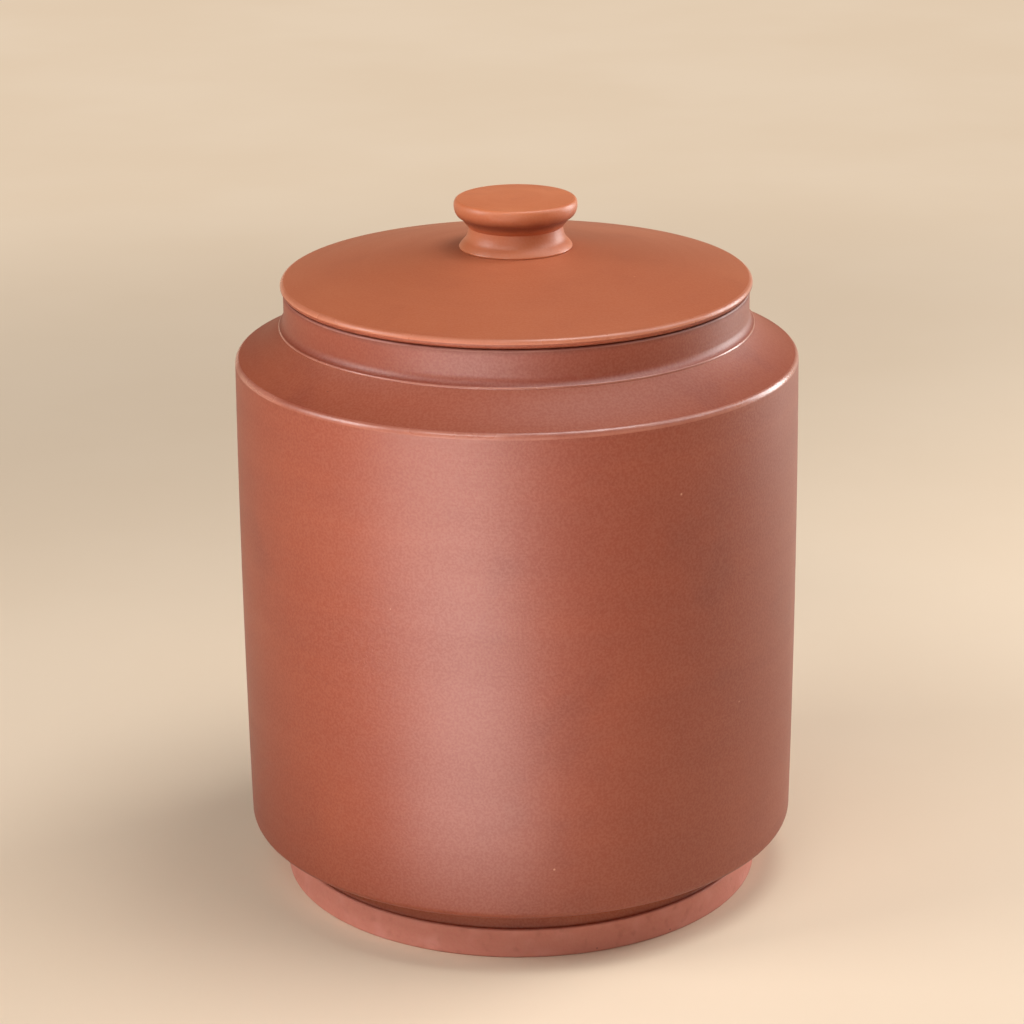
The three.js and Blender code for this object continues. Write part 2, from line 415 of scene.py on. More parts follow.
# %% Clay material
def make_clay(name, bloom, marks, grain, edges, crease_shade_mask, gloss):
    """A clay material from the five groups. gloss holds the numbers that the shader needs."""
    material = bpy.data.materials.new(name)
    material.use_nodes = True
    tree = material.node_tree
    wheel = place(tree, wheel_marks, **marks)
    grains = place(tree, clay_grain, **grain)
    masks = {
        "Clouds": place(tree, kiln_bloom, **bloom)["Color"],
        "Lines": wheel["Lines"],
        "Bands": wheel["Bands"],
        "Grain": grains["Grain"],
        "Pale": grains["Pale"],
        "Dark": grains["Dark"],
        "Wear And Highlight": place(tree, edge_wear_and_highlight, **edges)["Mask"],
        "Crease": place(tree, painted_crease_shade, **crease_shade_mask)["Mask"],
    }
    shader = tree.nodes["Principled BSDF"]
    feed(tree, shader.inputs["Base Color"], clay_colour(tree, masks, bloom["Dusk"], gloss))
    feed(tree, shader.inputs["Roughness"], clay_roughness(tree, masks, gloss))
    feed(tree, shader.inputs["Normal"], clay_relief(tree, masks, gloss))
    shader.inputs["IOR"].default_value = gloss["ior"]
    print(name, "has", len(tree.nodes), "nodes")
    return material


print("each clay draws on", len(bpy.data.node_groups), "groups")

# %% [markdown]
# ## Burnished clay
#
# The wall and the neck were rubbed with a smooth stone when they were nearly dry. That closes the grain
# and gives the broad, soft gleam down the front. The roughness sits in the middle, the wheel lines are
# only a few hundredths of a millimetre deep, and specks are rare. Worn edges are smoother, and their pale
# pink is partly wear and partly a painted highlight along the shoulder's edge.

# %% Burnished clay
FINE_GRAIN = {"Grain_Size": 0.0011, "Speck_Spacing": 0.014, "Speck_Size": 0.0007, "Speck_Share": 0.05}
SOFT_CREASES = {"Patch_Size": 0.01, "Fray": 0.4}

satin_clay = make_clay(
    "satin_clay",
    bloom={"Clay": tone(130, 48, 20), "Flush": tone(137, 55, 26), "Dusk": tone(120, 42, 18),
           "Cloud_Size": 0.11},
    marks={"Line_Spacing": 0.0014, "Band_Width": 0.011},
    grain=FINE_GRAIN,
    edges={"Patch_Size": 0.03, "Softest": 0.08, "Sharpest": 0.28},
    crease_shade_mask=SOFT_CREASES,
    # Edges get a pale pink that is partly wear and partly painted highlight; creases get painted shade.
    gloss={"ior": 1.66, "smoothest": 0.46, "roughest": 0.49, "band_tint": 0.25, "grain_tint": 0.08,
           "wear_and_highlight_colour": tone(200, 136, 116), "wear_and_highlight_share": 0.45, "rub_polish": 0.22, "crease_shade_share": 0.5,
           "line_depth": 0.00005, "grain_depth": 0.00006},
)

# %% [markdown]
# ## Collar clay
#
# The hollow of the shoulder and the waist of the foot are awkward to reach, so the stone passed over
# them more lightly. They stay a shade paler and more matt than the wall. The underside of the lid's edge
# takes
# this clay too: there it is darker than the lid's clay, and that is painted shade.

# %% Collar clay
collar_clay = make_clay(
    "collar_clay",
    bloom={"Clay": tone(141, 64, 37), "Flush": tone(148, 71, 43), "Dusk": tone(131, 56, 33),
           "Cloud_Size": 0.09},
    marks={"Line_Spacing": 0.0014, "Band_Width": 0.01},
    grain=FINE_GRAIN,
    edges={"Patch_Size": 0.03, "Softest": 0.5, "Sharpest": 0.9},
    crease_shade_mask=SOFT_CREASES,
    gloss={"ior": 1.5, "smoothest": 0.53, "roughest": 0.56, "band_tint": 0.25, "grain_tint": 0.08,
           "wear_and_highlight_colour": tone(180, 92, 56), "wear_and_highlight_share": 0.3, "rub_polish": 0.2, "crease_shade_share": 0.5,
           "line_depth": 0.00005, "grain_depth": 0.00007},
)

# %% [markdown]
# ## Lid clay
#
# The lid is handled every day, and its top was burnished on the wheel with more care than the wall. It is
# the same clay, a touch warmer and smoother, with finer turning lines that circle the knob.

# %% Lid clay
polished_clay = make_clay(
    "polished_clay",
    bloom={"Clay": tone(169, 89, 55), "Flush": tone(176, 97, 62), "Dusk": tone(163, 84, 52),
           "Cloud_Size": 0.08},
    marks={"Line_Spacing": 0.0012, "Band_Width": 0.009},
    grain={"Grain_Size": 0.001, "Speck_Spacing": 0.013, "Speck_Size": 0.0007, "Speck_Share": 0.05},
    edges={"Patch_Size": 0.02, "Softest": 0.06, "Sharpest": 0.5},
    crease_shade_mask={"Patch_Size": 0.008, "Fray": 0.4},
    # The pale edge colour is partly wear and partly a painted highlight along the lid's rim.
    gloss={"ior": 1.55, "smoothest": 0.45, "roughest": 0.48, "band_tint": 0.2, "grain_tint": 0.08,
           "wear_and_highlight_colour": tone(206, 138, 114), "wear_and_highlight_share": 0.35, "rub_polish": 0.2, "crease_shade_share": 0.5,
           "line_depth": 0.000025, "grain_depth": 0.00008},
)

# %% [markdown]
# ## Knob clay
#
# The knob's clay is paler than the lid it sits on.

# %% Knob clay
knob_clay = make_clay(
    "knob_clay",
    bloom={"Clay": tone(195, 108, 67), "Flush": tone(201, 115, 73), "Dusk": tone(190, 103, 64),
           "Cloud_Size": 0.03},
    marks={"Line_Spacing": 0.0012, "Band_Width": 0.006},
    grain={"Grain_Size": 0.001, "Speck_Spacing": 0.013, "Speck_Size": 0.0006, "Speck_Share": 0.05},
    edges={"Patch_Size": 0.01, "Softest": 0.06, "Sharpest": 0.5},
    crease_shade_mask={"Patch_Size": 0.006, "Fray": 0.4},
    # The crease colour is painted shade under the knob's rim.
    gloss={"ior": 1.55, "smoothest": 0.43, "roughest": 0.46, "band_tint": 0.2, "grain_tint": 0.08,
           "wear_and_highlight_colour": tone(206, 120, 80), "wear_and_highlight_share": 0.2, "rub_polish": 0.12, "crease_shade_share": 0.6,
           "line_depth": 0.000025, "grain_depth": 0.00008},
)

# %% [markdown]
# ## Raw clay
#
# The foot, the inside and the underside of the lid were never burnished. There the clay stays matt and a
# little pinker, with open grain, more specks, and the wheel's lines plain to see and feel. Its pale
# colour is partly the raw clay's own and partly painted light, which lifts the foot band out of the shade
# of the body's overhang.

# %% Raw clay
bare_clay = make_clay(
    "bare_clay",
    # Paler than the wall: partly raw clay, partly painted light on the shaded foot band.
    bloom={"Clay": tone(203, 126, 109), "Flush": tone(213, 141, 127), "Dusk": tone(187, 111, 94),
           "Cloud_Size": 0.014},
    marks={"Line_Spacing": 0.0022, "Band_Width": 0.008},
    grain={"Grain_Size": 0.0013, "Speck_Spacing": 0.006, "Speck_Size": 0.0007, "Speck_Share": 0.12},
    edges={"Patch_Size": 0.012, "Softest": 0.1, "Sharpest": 0.8},
    crease_shade_mask={"Patch_Size": 0.006, "Fray": 0.7},
    gloss={"ior": 1.5, "smoothest": 0.62, "roughest": 0.72, "band_tint": 0.3, "grain_tint": 0.16,
           "wear_and_highlight_colour": tone(190, 116, 92), "wear_and_highlight_share": 0.4, "rub_polish": 0.08, "crease_shade_share": 0.5,
           "line_depth": 0.00005, "grain_depth": 0.00015},
)

# %% [markdown]
# ## Outlines
#
# On the wheel only the outline of a piece is decided, and the turning does the rest. An outline here is
# a list of stretches, each with the clay that it shows. Straight stretches need two points. Curves are
# bends that lean towards one point, arcs, or corners softened by a wet sponge. Where a section begins,
# ends and reaches is read from the measured model, so that the finer mesh can't drift away from it.

# %% Outline helpers
MM = 0.001
CURVE_STEPS = 12
LONG_CURVE_STEPS = 24


def at(radius, height):
    """A point of an outline: how far it is from the axis, and how high."""
    return Vector((radius, height))


def bend(start, pull, end, steps=CURVE_STEPS):
    """A smooth stretch that leaves start towards pull and reaches end from pull."""
    stretch = []
    for step in range(steps + 1):
        part = step / steps
        stretch.append(start.lerp(pull, part).lerp(pull.lerp(end, part), part))
    return stretch


def arc(centre, radius, first, last):
    """A round stretch about a centre, between two angles in degrees."""
    stretch = []
    for step in range(CURVE_STEPS + 1):
        angle = math.radians(first + (last - first) * step / CURVE_STEPS)
        stretch.append(centre + radius * at(math.cos(angle), math.sin(angle)))
    return stretch


def soften(before, corner, after, size):
    """A corner rounded over the given size, between the points before and after it."""
    start = corner + (before - corner).normalized() * size
    end = corner + (after - corner).normalized() * size
    return bend(start, corner, end)


print("a short curve has", CURVE_STEPS, "steps, a long one", LONG_CURVE_STEPS)

# %% Measured heights and radii
def heights(node):
    """The lowest and highest place of a section, as measured."""
    low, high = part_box(node)
    return low.z, high.z


def reach(node):
    """The greatest radius of a section, as measured."""
    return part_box(node)[1].x


print("the jar's wall reaches", round(reach("body_wall") / MM, 2), "mm from the axis")

# %% [markdown]
# ## Turning
#
# A Screw modifier would turn an outline too, but it can't say which stretch is raw and which is
# burnished. The function turn sweeps the points round the axis itself. It leaves the piece a hair out of
# round, as hands do, always inwards so that the measured size holds. It also writes the attributes that
# the clays read: how far along the outline a point is, how tight an edge it sits on, which draws polish
# and a painted highlight, and how deep it lies in a crease that the piece names, which draws painted
# shade. A piece that hands never reach can ask for unworn edges, which also leaves out the painted
# highlight.

# %% Points along an outline
LONGEST_STEP = 3 * MM
SAME_POINT = 0.001 * MM


def steps_between(before, point):
    """Points from before, which is left out, up to point, none farther apart than LONGEST_STEP."""
    count = max(1, math.ceil((point - before).length / LONGEST_STEP))
    return [before.lerp(point, step / count) for step in range(1, count + 1)]


def joined(outline):
    """All points of an outline in order, each with the clay of the stretch that arrives at it."""
    points, clays = [], []
    for clay, stretch in outline:
        for point in stretch:
            if points and (point - points[-1]).length < SAME_POINT:
                continue
            arriving = steps_between(points[-1], point) if points else [point]
            points += arriving
            clays += [clay] * len(arriving)
    return points, clays


print("outline points are at most", round(LONGEST_STEP / MM), "mm apart")

# %% Rings of vertices
TURN_STEPS = 192
OUT_OF_ROUND = 0.0006
OVAL_ANGLE = 0.7
THREE_SIDED_SHARE = 0.6
TWIST_PER_METRE = 8


def roundness(angle, height):
    """How far a hand-turned piece falls short of a true circle there, as a share of its radius."""
    oval = math.sin(2 * angle + OVAL_ANGLE)
    three_sided = math.sin(3 * angle + TWIST_PER_METRE * height)
    most = 1 + THREE_SIDED_SHARE
    return -OUT_OF_ROUND * (most + oval + THREE_SIDED_SHARE * three_sided) / (2 * most)


def ring_points(point):
    """One turn of an outline's point about the axis, or the point itself where it lies on the axis."""
    if point.x < SAME_POINT:
        return [(0.0, 0.0, point.y)]
    ring = []
    for step in range(TURN_STEPS):
        angle = 2 * math.pi * step / TURN_STEPS
        radius = point.x * (1 + roundness(angle, point.y))
        ring.append((radius * math.cos(angle), radius * math.sin(angle), point.y))
    return ring


def turned_vertices(points):
    """The vertices of a turned outline, and the vertex numbers of each ring."""
    vertices, rings = [], []
    for point in points:
        ring = ring_points(point)
        rings.append(range(len(vertices), len(vertices) + len(ring)))
        vertices += ring
    return vertices, rings


print("a ring has", TURN_STEPS, "vertices")

# %% Faces between rings
def band_faces(lower, upper):
    """The faces between two rings of vertex numbers, either of which may be a single point."""
    faces = []
    for step in range(TURN_STEPS):
        following = (step + 1) % TURN_STEPS
        if len(lower) == 1:
            faces.append((lower[0], upper[following], upper[step]))
        elif len(upper) == 1:
            faces.append((lower[step], lower[following], upper[0]))
        else:
            faces.append((lower[step], lower[following], upper[following], upper[step]))
    return faces


print("a band between two rings has", len(band_faces(range(TURN_STEPS), range(TURN_STEPS))), "faces")

# %% Edges and creases
SHARP_CORNER = math.radians(35)
TIGHTEST_EDGE = 1 * MM
CREASE_REACH = 2.5 * MM


def edge_tightness(before, point, after):
    """0 on a flat or hollow stretch or at a luted seam, up to 1 on an edge as tight as TIGHTEST_EDGE."""
    arriving, leaving = point - before, after - point
    turn_angle = leaving.angle_signed(arriving)
    if turn_angle > SHARP_CORNER:
        return 0.0
    spacing = (arriving.length + leaving.length) / 2
    return min(max(turn_angle / spacing * TIGHTEST_EDGE, 0.0), 1.0)


def crease_depth(point, creases, crease_reach):
    """1 in a crease, down to 0 where every crease is farther away than its reach."""
    nearest = min(((point - crease).length for crease in creases), default=crease_reach)
    return max(0.0, 1 - nearest / crease_reach)


def carried_values(points, rings, creases, crease_reach, wear_and_highlight_scale):
    """What the clays read at each vertex. wear scales the edge values, which draw both edge polish and a
    painted highlight, and 0 leaves them out.
    """
    values = {"along": [], "edge": [], "hollow": []}
    ends_on_axis = (0, len(points) - 1) if len(rings[0]) == 1 else ()
    distance = 0.0
    for index, (point, ring) in enumerate(zip(points, rings)):
        following = points[(index + 1) % len(points)]
        distance += (point - points[index - 1]).length if index else 0.0
        tightness = 0.0 if index in ends_on_axis else edge_tightness(points[index - 1], point, following)
        values["along"] += [distance] * len(ring)
        values["edge"] += [tightness * wear_and_highlight_scale] * len(ring)
        values["hollow"] += [crease_depth(point, creases, crease_reach)] * len(ring)
    return values


print("corners over", round(math.degrees(SHARP_CORNER)), "degrees stay crisp")

# %% Turn an outline
BODY_OF = {node: body for body, nodes in record["behaviour"]["bodies"].items() for node in nodes}


def turn(node, outline, creases=(), crease_reach=CREASE_REACH, wear_and_highlight_scale=1.0):
    """Turns an outline into the finer mesh of a section and lets it ride with the section's body.

    An outline that starts on the axis ends there too. Any other closes on itself, as a ring does.
    """
    points, clays = joined(outline)
    vertices, rings = turned_vertices(points)
    solid = len(rings[0]) == 1
    finishes = list(dict.fromkeys(clays))
    faces, face_clays = [], []
    for index in range(len(points) - 1 if solid else len(points)):
        following = (index + 1) % len(points)
        faces += band_faces(rings[index], rings[following])
        face_clays += [finishes.index(clays[following])] * TURN_STEPS

    mesh = bpy.data.meshes.new(f"{node}_turned")
    mesh.from_pydata(vertices, [], faces)
    for clay in finishes:
        mesh.materials.append(clay)
    mesh.polygons.foreach_set("material_index", face_clays)
    for name, values in carried_values(points, rings, creases, crease_reach, wear_and_highlight_scale).items():
        mesh.attributes.new(name, "FLOAT", "POINT").data.foreach_set("value", values)
    mesh.shade_smooth()
    mesh.set_sharp_from_angle(angle=SHARP_CORNER)
    piece = bpy.data.objects.new(mesh.name, mesh)
    bpy.context.collection.objects.link(piece)
    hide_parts(node)
    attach(piece, BODY_OF[node])
    print(f"{piece.name}: {len(points)} outline points, {len(faces)} faces, rides on {BODY_OF[node]}")


# %% [markdown]
# ## Foot ring
#
# The jar stands on a ring that was turned on its own and luted under the base: a plain band on the table,
# a small ledge, and a set-back waist that makes the body seem to float. The band stays raw, because a
# glossy foot would slip. The burnishing stone just reached the waist, so it shows a smoother clay.

# %% Foot ring
FOOT_BAND_HEIGHT = 13.75 * MM
FOOT_RADIUS = 112.5 * MM
FOOT_BAND_TOP_RADIUS = 112 * MM
FOOT_INNER_RADIUS = 96 * MM
WAIST_RADIUS = 110 * MM
WAIST_COVE = 3 * MM
SOFT_EDGE = 1 * MM

table_z, base_z = heights("foot_ring")
inside_low = at(FOOT_INNER_RADIUS, table_z)
inside_high = at(FOOT_INNER_RADIUS, base_z)
outside_low = at(FOOT_RADIUS, table_z)
band_top = at(FOOT_BAND_TOP_RADIUS, FOOT_BAND_HEIGHT)
ledge = at(WAIST_RADIUS, FOOT_BAND_HEIGHT)
waist_top = at(WAIST_RADIUS, base_z)
under_base = at(WAIST_RADIUS + WAIST_COVE, base_z)
# The pale raw clay of the band is partly painted light, which lifts it out of the body's shade.
turn("foot_ring", [
    (bare_clay, soften(inside_high, inside_low, outside_low, SOFT_EDGE)),
    (bare_clay, soften(inside_low, outside_low, band_top, SOFT_EDGE)),
    (bare_clay, soften(outside_low, band_top, ledge, SOFT_EDGE)),
    (collar_clay, soften(band_top, ledge, waist_top, SOFT_EDGE)),
    (collar_clay, soften(ledge, waist_top, under_base, WAIST_COVE)),
    (bare_clay, [inside_high]),
])

# %% [markdown]
# ## Base plate
#
# The floor is a slab with the jar's lower corner on its rim. It overhangs the foot by a finger's width.
# The wall swells by less than a millimetre between its two edges, which keeps a straight side from
# looking pinched, so the rim follows the same swell. Hands don't reach down there, so nothing is worn.

# %% Base plate
LOWER_CORNER = 4 * MM
SWELL = 0.8 * MM

base_z, floor_z = heights("base_plate")
shoulder_z, neck_z = heights("shoulder_ring")
swell_low = base_z + LOWER_CORNER
swell_middle = (swell_low + shoulder_z) / 2
swell_half = (shoulder_z - swell_low) / 2


def wall_radius(height):
    """The outside of the jar's wall at a height."""
    return reach("body_wall") - SWELL * ((height - swell_middle) / swell_half) ** 2


corner_centre = at(wall_radius(swell_low) - LOWER_CORNER, swell_low)
turn("base_plate", [
    (bare_clay, [at(0, base_z), at(FOOT_INNER_RADIUS, base_z)]),
    (satin_clay, arc(corner_centre, LOWER_CORNER, -90, 0)),
    (satin_clay, [at(wall_radius(floor_z), floor_z)]),
    (bare_clay, [at(0, floor_z)]),
], wear_and_highlight_scale=0.0)

# %% [markdown]
# ## Body wall
#
# The wall is thrown as an even tube and ribbed straight. Outside it was burnished. Inside it stays raw,
# with a small cove where it meets the floor, so that no tea is caught in a corner.

# %% Body wall
WALL_THICKNESS = 7 * MM
FLOOR_COVE = 8 * MM
WALL_STEPS = 30
STEPS_IN_COVE = 2

levels = [floor_z + (shoulder_z - floor_z) * step / WALL_STEPS for step in range(WALL_STEPS + 1)]
outside = [at(wall_radius(level), level) for level in levels]
inside = [at(wall_radius(level) - WALL_THICKNESS, level) for level in reversed(levels[STEPS_IN_COVE:])]
inside_corner = at(wall_radius(floor_z) - WALL_THICKNESS, floor_z)
turn("body_wall", [
    (satin_clay, outside),
    (bare_clay, inside),
    (bare_clay, soften(inside[-1], inside_corner, at(0, floor_z), FLOOR_COVE)),
])

# %% [markdown]
# ## Shoulder ring
#
# A crisp edge ends the wall, and from it a hollow slope sweeps up to the neck. The edge catches a thin
# line of light all the way round, so it gets a small round of its own before the hollow begins.

# %% Shoulder ring
EDGE_START = 1.75 * MM
EDGE_CORNER = 4 * MM
EDGE_END = at(-1.7 * MM, 4.75 * MM)
HOLLOW_PULL = at(116.4 * MM, 9.5 * MM)
MOUTH_RADIUS = 100.5 * MM
BORE_START = 12 * MM
UNDER_SHOULDER_PULL = at(109 * MM, 2.5 * MM)

edge_radius = wall_radius(shoulder_z)
up_to_shoulder = at(0, shoulder_z)
edge_low = at(edge_radius, shoulder_z + EDGE_START)
edge_corner = at(edge_radius, shoulder_z + EDGE_CORNER)
edge_end = at(edge_radius, shoulder_z) + EDGE_END
neck_base = at(reach("neck_collar"), neck_z)
bore_low = at(MOUTH_RADIUS, shoulder_z + BORE_START)
wall_inside = at(edge_radius - WALL_THICKNESS, shoulder_z)
turn("shoulder_ring", [
    (satin_clay, [at(edge_radius, shoulder_z)]),
    (satin_clay, bend(edge_low, edge_corner, edge_end)),
    (collar_clay, bend(edge_end, up_to_shoulder + HOLLOW_PULL, neck_base, LONG_CURVE_STEPS)),
    (bare_clay, [at(MOUTH_RADIUS, neck_z)]),
    (bare_clay, bend(bore_low, up_to_shoulder + UNDER_SHOULDER_PULL, wall_inside)),
])

# %% [markdown]
# ## Neck collar
#
# The mouth is a low upright collar. A small lip at its base draws a fine line of light round the top of
# the shoulder, and its flat rim carries the lid. The rim's corners are sponged round.

# %% Neck collar
NECK_RADIUS = 106.25 * MM
NECK_LIP_HEIGHT = 0.75 * MM
FILLET_PULL_HEIGHT = 2.5 * MM
FILLET_HEIGHT = 5 * MM

neck_z, rim_z = heights("neck_collar")
neck_lip = at(neck_base.x, neck_z + NECK_LIP_HEIGHT)
fillet_pull = at(NECK_RADIUS, neck_z + FILLET_PULL_HEIGHT)
fillet_top = at(NECK_RADIUS, neck_z + FILLET_HEIGHT)
rounded_lip = soften(neck_base, neck_lip, fillet_pull, SOFT_EDGE / 2)
rim_outside = at(NECK_RADIUS, rim_z)
rim_inside = at(MOUTH_RADIUS, rim_z)
bore_bottom = at(MOUTH_RADIUS, neck_z)
# The crease at the rim's outer corner darkens the clay under the lid's edge: painted shade.
turn("neck_collar", [
    (bare_clay, [bore_bottom]),
    (satin_clay, [neck_base, *rounded_lip]),
    (satin_clay, bend(rounded_lip[-1], fillet_pull, fillet_top)),
    (satin_clay, soften(fillet_top, rim_outside, rim_inside, SOFT_EDGE)),
    (bare_clay, soften(rim_outside, rim_inside, bore_bottom, SOFT_EDGE)),
], creases=[rim_outside])

# %% [markdown]
# ## Lid plate
#
# The lid is a low dome. Its round edge stands a little proud of the neck and just clear of the rim, which
# leaves a fine dark gap. It is flat under the knob, and hollowed underneath so that it does not crack in
# the fire.

# %% Lid plate
LID_EDGE = 4.25 * MM
LID_RELIEF = 0.5 * MM
LID_SEAT_RADIUS = 103 * MM
LID_RIM_SLOPE = 11.5
LID_HOLLOW_TOP = 11.75 * MM
DOME_STEPS = 36
KNOB_FOOT_RADIUS = 25.75 * MM
FLANGE_INNER_RADIUS = 94 * MM

seat_z, knob_z = heights("lid_plate")
edge_round = LID_EDGE / 2
edge_centre = at(reach("lid_plate") - edge_round, seat_z + LID_RELIEF + edge_round)
lid_edge_under = arc(edge_centre, edge_round, -90, 0)
lid_edge = arc(edge_centre, edge_round, 0, 90 - LID_RIM_SLOPE)
knob_seat = at(KNOB_FOOT_RADIUS, knob_z)
half_dome = (lid_edge[-1].x - knob_seat.x) / 2
dome_pull = lid_edge[-1] + at(-half_dome, half_dome * math.tan(math.radians(LID_RIM_SLOPE)))
hollow_top = at(0, seat_z + LID_HOLLOW_TOP)
hollow_pull = at(FLANGE_INNER_RADIUS / 2, hollow_top.y)
hollow_edge = at(FLANGE_INNER_RADIUS, seat_z)
seat_edge = at(LID_SEAT_RADIUS, seat_z)
relief_edge = seat_edge + at(LID_RELIEF, LID_RELIEF)
# The crease at the seat darkens the clay in the gap under the lid: painted shade.
turn("lid_plate", [
    (bare_clay, bend(hollow_top, hollow_pull, hollow_edge, LONG_CURVE_STEPS)),
    (bare_clay, [seat_edge, relief_edge]),
    # Painted shade: the lower half of the round edge takes the darker collar clay.
    (collar_clay, lid_edge_under),
    (polished_clay, lid_edge),
    (polished_clay, bend(lid_edge[-1], dome_pull, knob_seat, DOME_STEPS)),
    (polished_clay, [at(0, knob_z)]),
], creases=[seat_edge])

# %% [markdown]
# ## Lid flange
#
# A ring under the lid drops into the mouth and keeps the lid from sliding off. It tapers a little, so
# that the lid finds its place by itself.

# %% Lid flange
FLANGE_TAPER = 0.5 * MM

flange_low, flange_high = heights("lid_flange")
flange_outside = at(reach("lid_flange"), flange_high)
flange_inside = at(FLANGE_INNER_RADIUS, flange_high)
tip_outside = at(flange_outside.x - FLANGE_TAPER, flange_low)
tip_inside = at(flange_inside.x + FLANGE_TAPER, flange_low)
turn("lid_flange", [
    (bare_clay, soften(flange_inside, tip_inside, tip_outside, SOFT_EDGE)),
    (bare_clay, soften(tip_inside, tip_outside, flange_outside, SOFT_EDGE)),
    (bare_clay, [flange_outside, flange_inside]),
])

# %% [markdown]
# ## Knob
#
# The knob takes most skill: a rounded foot, a hollow flare that runs up to a sharp waist line, an
# undercut cone, and a round rim under a nearly flat top. It is one outline, turned in one go. The waist
# and the crease under the rim must stay crisp, so no softening is put there.

# %% Knob
KNOB_LIP_LOW = at(25.75 * MM, 0.6 * MM)
KNOB_LIP_PULL = at(25 * MM, 1.9 * MM)
KNOB_FLARE_LOW = at(23.6 * MM, 3.3 * MM)
KNOB_FLARE_PULL = at(21.7 * MM, 5.1 * MM)
KNOB_WAIST = at(21.4 * MM, 9.75 * MM)
KNOB_CONE_PULL = at(23.2 * MM, 11.6 * MM)
KNOB_CREASE = at(24.9 * MM, 14.3 * MM)
KNOB_RIM_LOW_PULL = at(28.2 * MM, 14.2 * MM)
KNOB_RIM_HIGH_PULL = at(29.4 * MM, 22.8 * MM)
KNOB_TOP_EDGE = at(25.9 * MM, 22.5 * MM)
KNOB_UNDERCUT = 6 * MM

knob_z, top_z = heights("lid_knob")
up_to_knob = at(0, knob_z)
lip_low = up_to_knob + KNOB_LIP_LOW
flare_low = up_to_knob + KNOB_FLARE_LOW
waist = up_to_knob + KNOB_WAIST
knob_crease = up_to_knob + KNOB_CREASE
rim_points = (KNOB_CREASE, KNOB_RIM_LOW_PULL, KNOB_RIM_HIGH_PULL, KNOB_TOP_EDGE)
knob_rim = interpolate_bezier(*(up_to_knob + point for point in rim_points), LONG_CURVE_STEPS)
crown = bend(knob_rim[-1], at(knob_rim[-1].x / 2, top_z), at(0, top_z))
# The crease under the rim darkens the undercut cone down to the waist: painted shade.
turn("lid_knob", [
    (knob_clay, [up_to_knob]),
    (knob_clay, soften(up_to_knob, knob_seat, lip_low, SOFT_EDGE / 2)),
    (knob_clay, bend(lip_low, up_to_knob + KNOB_LIP_PULL, flare_low)),
    (knob_clay, bend(flare_low, up_to_knob + KNOB_FLARE_PULL, waist)),
    (knob_clay, bend(waist, up_to_knob + KNOB_CONE_PULL, knob_crease)),
    (knob_clay, knob_rim),
    (knob_clay, crown),
], creases=[knob_crease], crease_reach=KNOB_UNDERCUT)

# %% [markdown]
# ## Floor
#
# A plain pale floor shows the jar's shadow and nothing else. It is stage, not part of the jar. Far out it
# sweeps up into a low round backdrop, as in a photo studio, so that no horizon shows from any side. The
# lamps don't reach that far, and more lamps would spoil the gleams. So the paint goes over to a glow in
# its own colour there, for the camera and for mirror images only. It lights nothing.

# %% Floor paint
FLOOR_PAINT = tone(226, 203, 176)
FLOOR_PATCHES = tone(229, 207, 181)
PATCHES_PER_METRE = 3.0
PATCH_RANGE = (0.3, 0.7)
FLOOR_ROUGHNESS = 0.9
GLOW_STARTS = 0.3
GLOW_FULL = 1.5


def make_floor_paint():
    """Matt paint near the jar, going over to a glow of the same colour far from it."""
    material = bpy.data.materials.new("floor_paint")
    material.use_nodes = True
    tree = material.node_tree
    shader = tree.nodes["Principled BSDF"]
    where = add(tree, "ShaderNodeTexCoord").outputs["Object"]
    patches = ramp(tree, noise(tree, where, PATCHES_PER_METRE, detail=4.0), *PATCH_RANGE)
    paint = blend_colours(tree, patches, FLOOR_PAINT, FLOOR_PATCHES)
    feed(tree, shader.inputs["Base Color"], paint)
    shader.inputs["Roughness"].default_value = FLOOR_ROUGHNESS
    glow = add(tree, "ShaderNodeEmission")
    feed(tree, glow.inputs["Color"], paint)
    rays = add(tree, "ShaderNodeLightPath").outputs
    seen = sum_of(tree, "MAXIMUM", rays["Is Camera Ray"], rays["Is Glossy Ray"])
    from_jar = add(tree, "ShaderNodeVectorMath", operation="LENGTH")
    feed(tree, from_jar.inputs[0], where)
    far = ramp(tree, from_jar.outputs["Value"], GLOW_STARTS, GLOW_FULL)
    mixed = add(tree, "ShaderNodeMixShader")
    feed(tree, mixed.inputs["Fac"], sum_of(tree, "MULTIPLY", seen, far))
    feed(tree, mixed.inputs[1], shader.outputs["BSDF"])
    feed(tree, mixed.inputs[2], glow.outputs["Emission"])
    feed(tree, tree.nodes["Material Output"].inputs["Surface"], mixed.outputs["Shader"])
    return material


floor_paint = make_floor_paint()
print(floor_paint.name, "has", len(floor_paint.node_tree.nodes), "nodes")

# %% Floor and backdrop
FLOOR_RADIUS = 5.0
BACKDROP_RADIUS = 7.0
BACKDROP_HEIGHT = 1.6

backdrop_top = at(BACKDROP_RADIUS, table_z + BACKDROP_HEIGHT)
sweep = bend(backdrop_top, at(BACKDROP_RADIUS, table_z), at(FLOOR_RADIUS, table_z))
floor_vertices, floor_rings = turned_vertices([*sweep, at(0, table_z)])
floor_faces = []
for outer, inner in zip(floor_rings, floor_rings[1:]):
    floor_faces += band_faces(outer, inner)
floor_mesh = bpy.data.meshes.new("floor")
floor_mesh.from_pydata(floor_vertices, [], floor_faces)
floor_mesh.materials.append(floor_paint)
floor_mesh.shade_smooth()
floor = bpy.data.objects.new("floor", floor_mesh)
bpy.context.collection.objects.link(floor)
print("floor and backdrop,", 2 * BACKDROP_RADIUS, "m across")

# %% [markdown]
# ## Soft boxes
#
# A satin jar shows its lamps as soft gleams, so each lamp is a large box, as in a small product studio.
# Two boxes model the right side, one the left, and one hangs over the lid. A low one in front keeps the
# foot from going dark, and a higher one draws the thin bright line along the shoulder's edge. All are
# white, so that the clay shows its own colour.

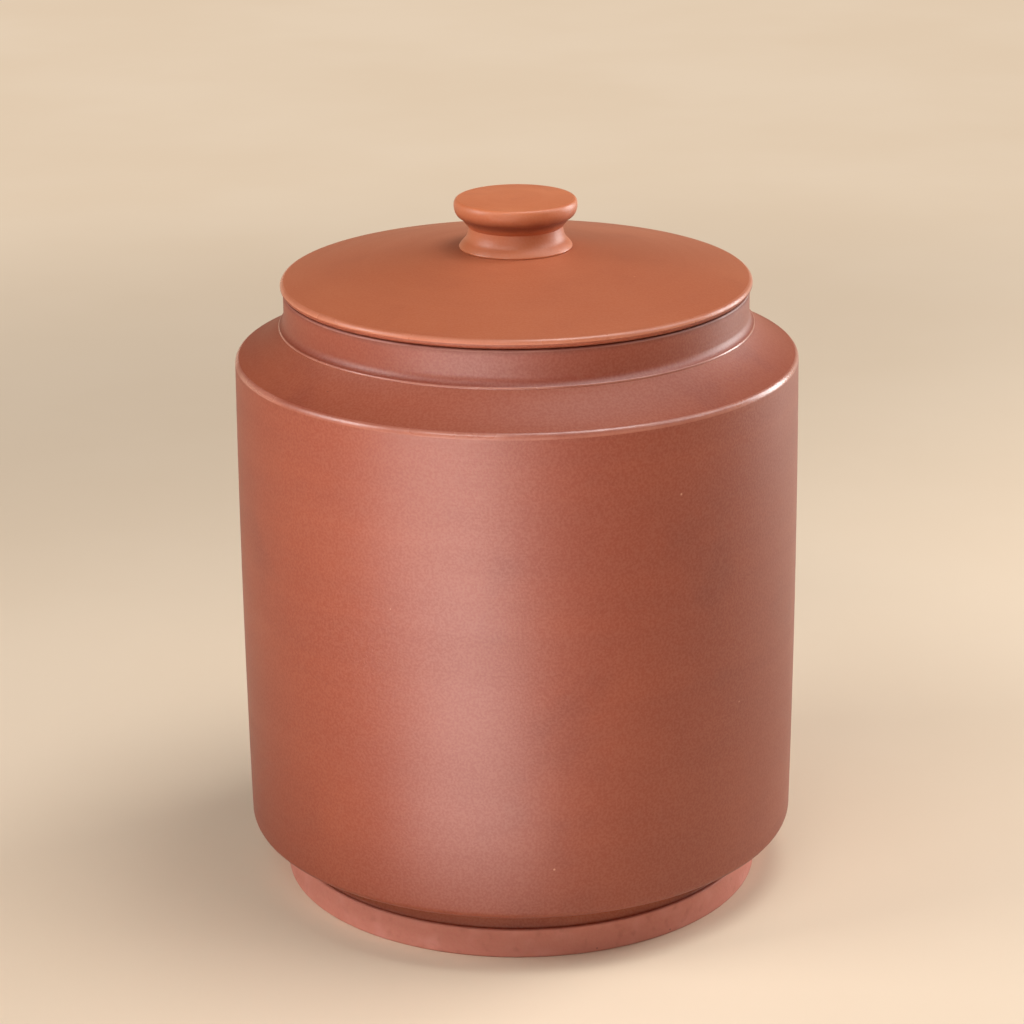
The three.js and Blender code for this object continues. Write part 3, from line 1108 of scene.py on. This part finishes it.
# %% Soft boxes
AIM_HEIGHT = 0.16


def area_lamp(name, width, height, power):
    """A white rectangular lamp, not yet placed."""
    lamp = bpy.data.lights.new(name, "AREA")
    lamp.shape = "RECTANGLE"
    lamp.size = width
    lamp.size_y = height
    lamp.energy = power
    holder = bpy.data.objects.new(name, lamp)
    bpy.context.collection.objects.link(holder)
    print(f"{name}: {power} W")
    return holder


def softbox(name, azimuth, elevation, distance, width, height, power):
    """A lamp that looks at the jar. Azimuth 0 is the camera's side, and positive is right."""
    box = area_lamp(name, width, height, power)
    turned_by, raised_by = math.radians(azimuth), math.radians(elevation)
    direction = Vector((
        math.sin(turned_by) * math.cos(raised_by),
        -math.cos(turned_by) * math.cos(raised_by),
        math.sin(raised_by),
    ))
    box.location = direction * distance + Vector((0, 0, AIM_HEIGHT))
    box.rotation_euler = direction.to_track_quat("Z", "Y").to_euler()


softbox("right_box", azimuth=118, elevation=12, distance=1.4, width=0.5, height=0.8, power=12.5)
softbox("high_right_box", azimuth=85, elevation=42, distance=1.5, width=0.9, height=0.9, power=7.5)
softbox("top_box", azimuth=70, elevation=76, distance=1.3, width=0.6, height=0.6, power=8)
softbox("front_box", azimuth=-8, elevation=8, distance=1.6, width=1.4, height=0.3, power=3.4)
softbox("left_box", azimuth=-75, elevation=28, distance=1.4, width=0.6, height=0.7, power=10.5)
softbox("edge_box", azimuth=-24, elevation=46, distance=1.4, width=0.7, height=0.2, power=4)

# %% [markdown]
# ## Panels on the table
#
# A camera that looks down sees the table mirrored in an upright wall. So the broad gleam down the front
# comes from two light panels that lie on the table, just outside the picture, where a photographer would
# lay white cards. The far one draws the gleam, and the small near one carries it down to the foot.

# %% Panels on the table
PANEL_THICKNESS = 0.004


def floor_panel(name, azimuth, distance, width, length, power):
    """A lamp that lies on the table and shines upwards."""
    panel = area_lamp(name, width, length, power)
    turned_by = math.radians(azimuth)
    panel.location = (math.sin(turned_by) * distance, -math.cos(turned_by) * distance, PANEL_THICKNESS)
    panel.rotation_euler = (math.pi, 0, turned_by)


floor_panel("gleam_panel", azimuth=-28, distance=0.74, width=0.6, length=0.36, power=7)
floor_panel("near_panel", azimuth=-15, distance=0.385, width=0.2, length=0.33, power=0.85)

# %% [markdown]
# ## Surround
#
# The rest of the room is nearly dark, so that the gleams keep their shape. A faint white surround only
# keeps the deepest shadows from going black. The Standard view shows colours as they are mixed.

# %% Surround
SURROUND_STRENGTH = 0.03

world = bpy.data.worlds.new("studio_surround")
world.use_nodes = True
surround = world.node_tree.nodes["Background"]
surround.inputs["Color"].default_value = tone(255, 255, 255)
surround.inputs["Strength"].default_value = SURROUND_STRENGTH
bpy.context.scene.world = world
bpy.context.scene.view_settings.view_transform = "Standard"
print("surround strength", SURROUND_STRENGTH)
